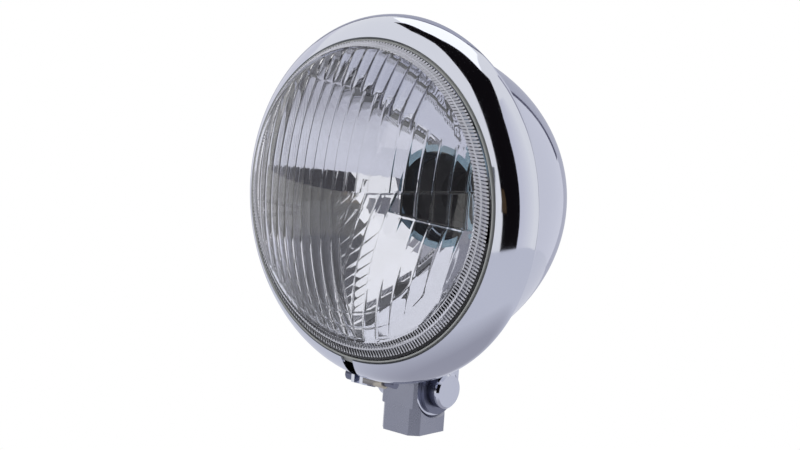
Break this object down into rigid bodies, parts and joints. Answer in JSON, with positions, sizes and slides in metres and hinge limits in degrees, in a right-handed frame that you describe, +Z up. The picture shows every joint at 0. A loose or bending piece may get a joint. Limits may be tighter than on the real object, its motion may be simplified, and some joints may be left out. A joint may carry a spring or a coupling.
{
  "type": "round motorcycle headlight",
  "caption": "Round chrome motorcycle headlight with fluted domed glass lens, split clamp bezel, deep rounded bucket and tilting yoke on a bottom mounting block",
  "frame": {"origin": "centre of the mounting foot's lower face, at the mouth of its threaded hole", "axes": "+Z is up, the lens faces -Y, and +X is to the right of someone who looks at the lens"},
  "size_m": [0.1626, 0.128, 0.1886],
  "materials": {
    "bright_chrome": "polished",
    "satin_chrome": "satin",
    "lens_glass": "clear",
    "mirror_coat": "polished",
    "spring_steel": "satin",
    "dark_steel": "satin",
    "yellow_steel": "satin",
    "cream_rubber": "matte",
    "black_rubber": "matte",
    "black_plastic": "matte"
  },
  "bodies": {
    "mount": {"mount_block": "satin_chrome"},
    "lamp": {"bezel": "bright_chrome", "clamp_screw": "dark_steel", "clamp_nut": "yellow_steel", "lens": "lens_glass", "lens_gasket": "cream_rubber", "unit_clips": "spring_steel", "reflector": "mirror_coat", "bulb_seat": "spring_steel", "bulb_clip": "spring_steel", "bulb_boot": "black_rubber", "pilot_holder": "black_plastic", "bucket": "bright_chrome", "bucket_seal": "black_rubber", "cable_grommet": "black_rubber", "mounting_yoke": "bright_chrome", "yoke_plate": "dark_steel", "yoke_bolts": "dark_steel", "pivot_bolt": "bright_chrome", "pivot_nut": "bright_chrome", "spring_washers": "dark_steel", "pivot_washers": "dark_steel"}
  },
  "joints": [
    {"name": "tilt", "type": "hinge", "parent": "mount", "child": "lamp", "pos_m": [0, 0.003, 0.0205], "axis": [1, 0, 0], "range_deg": [-10, 10]}
  ]
}
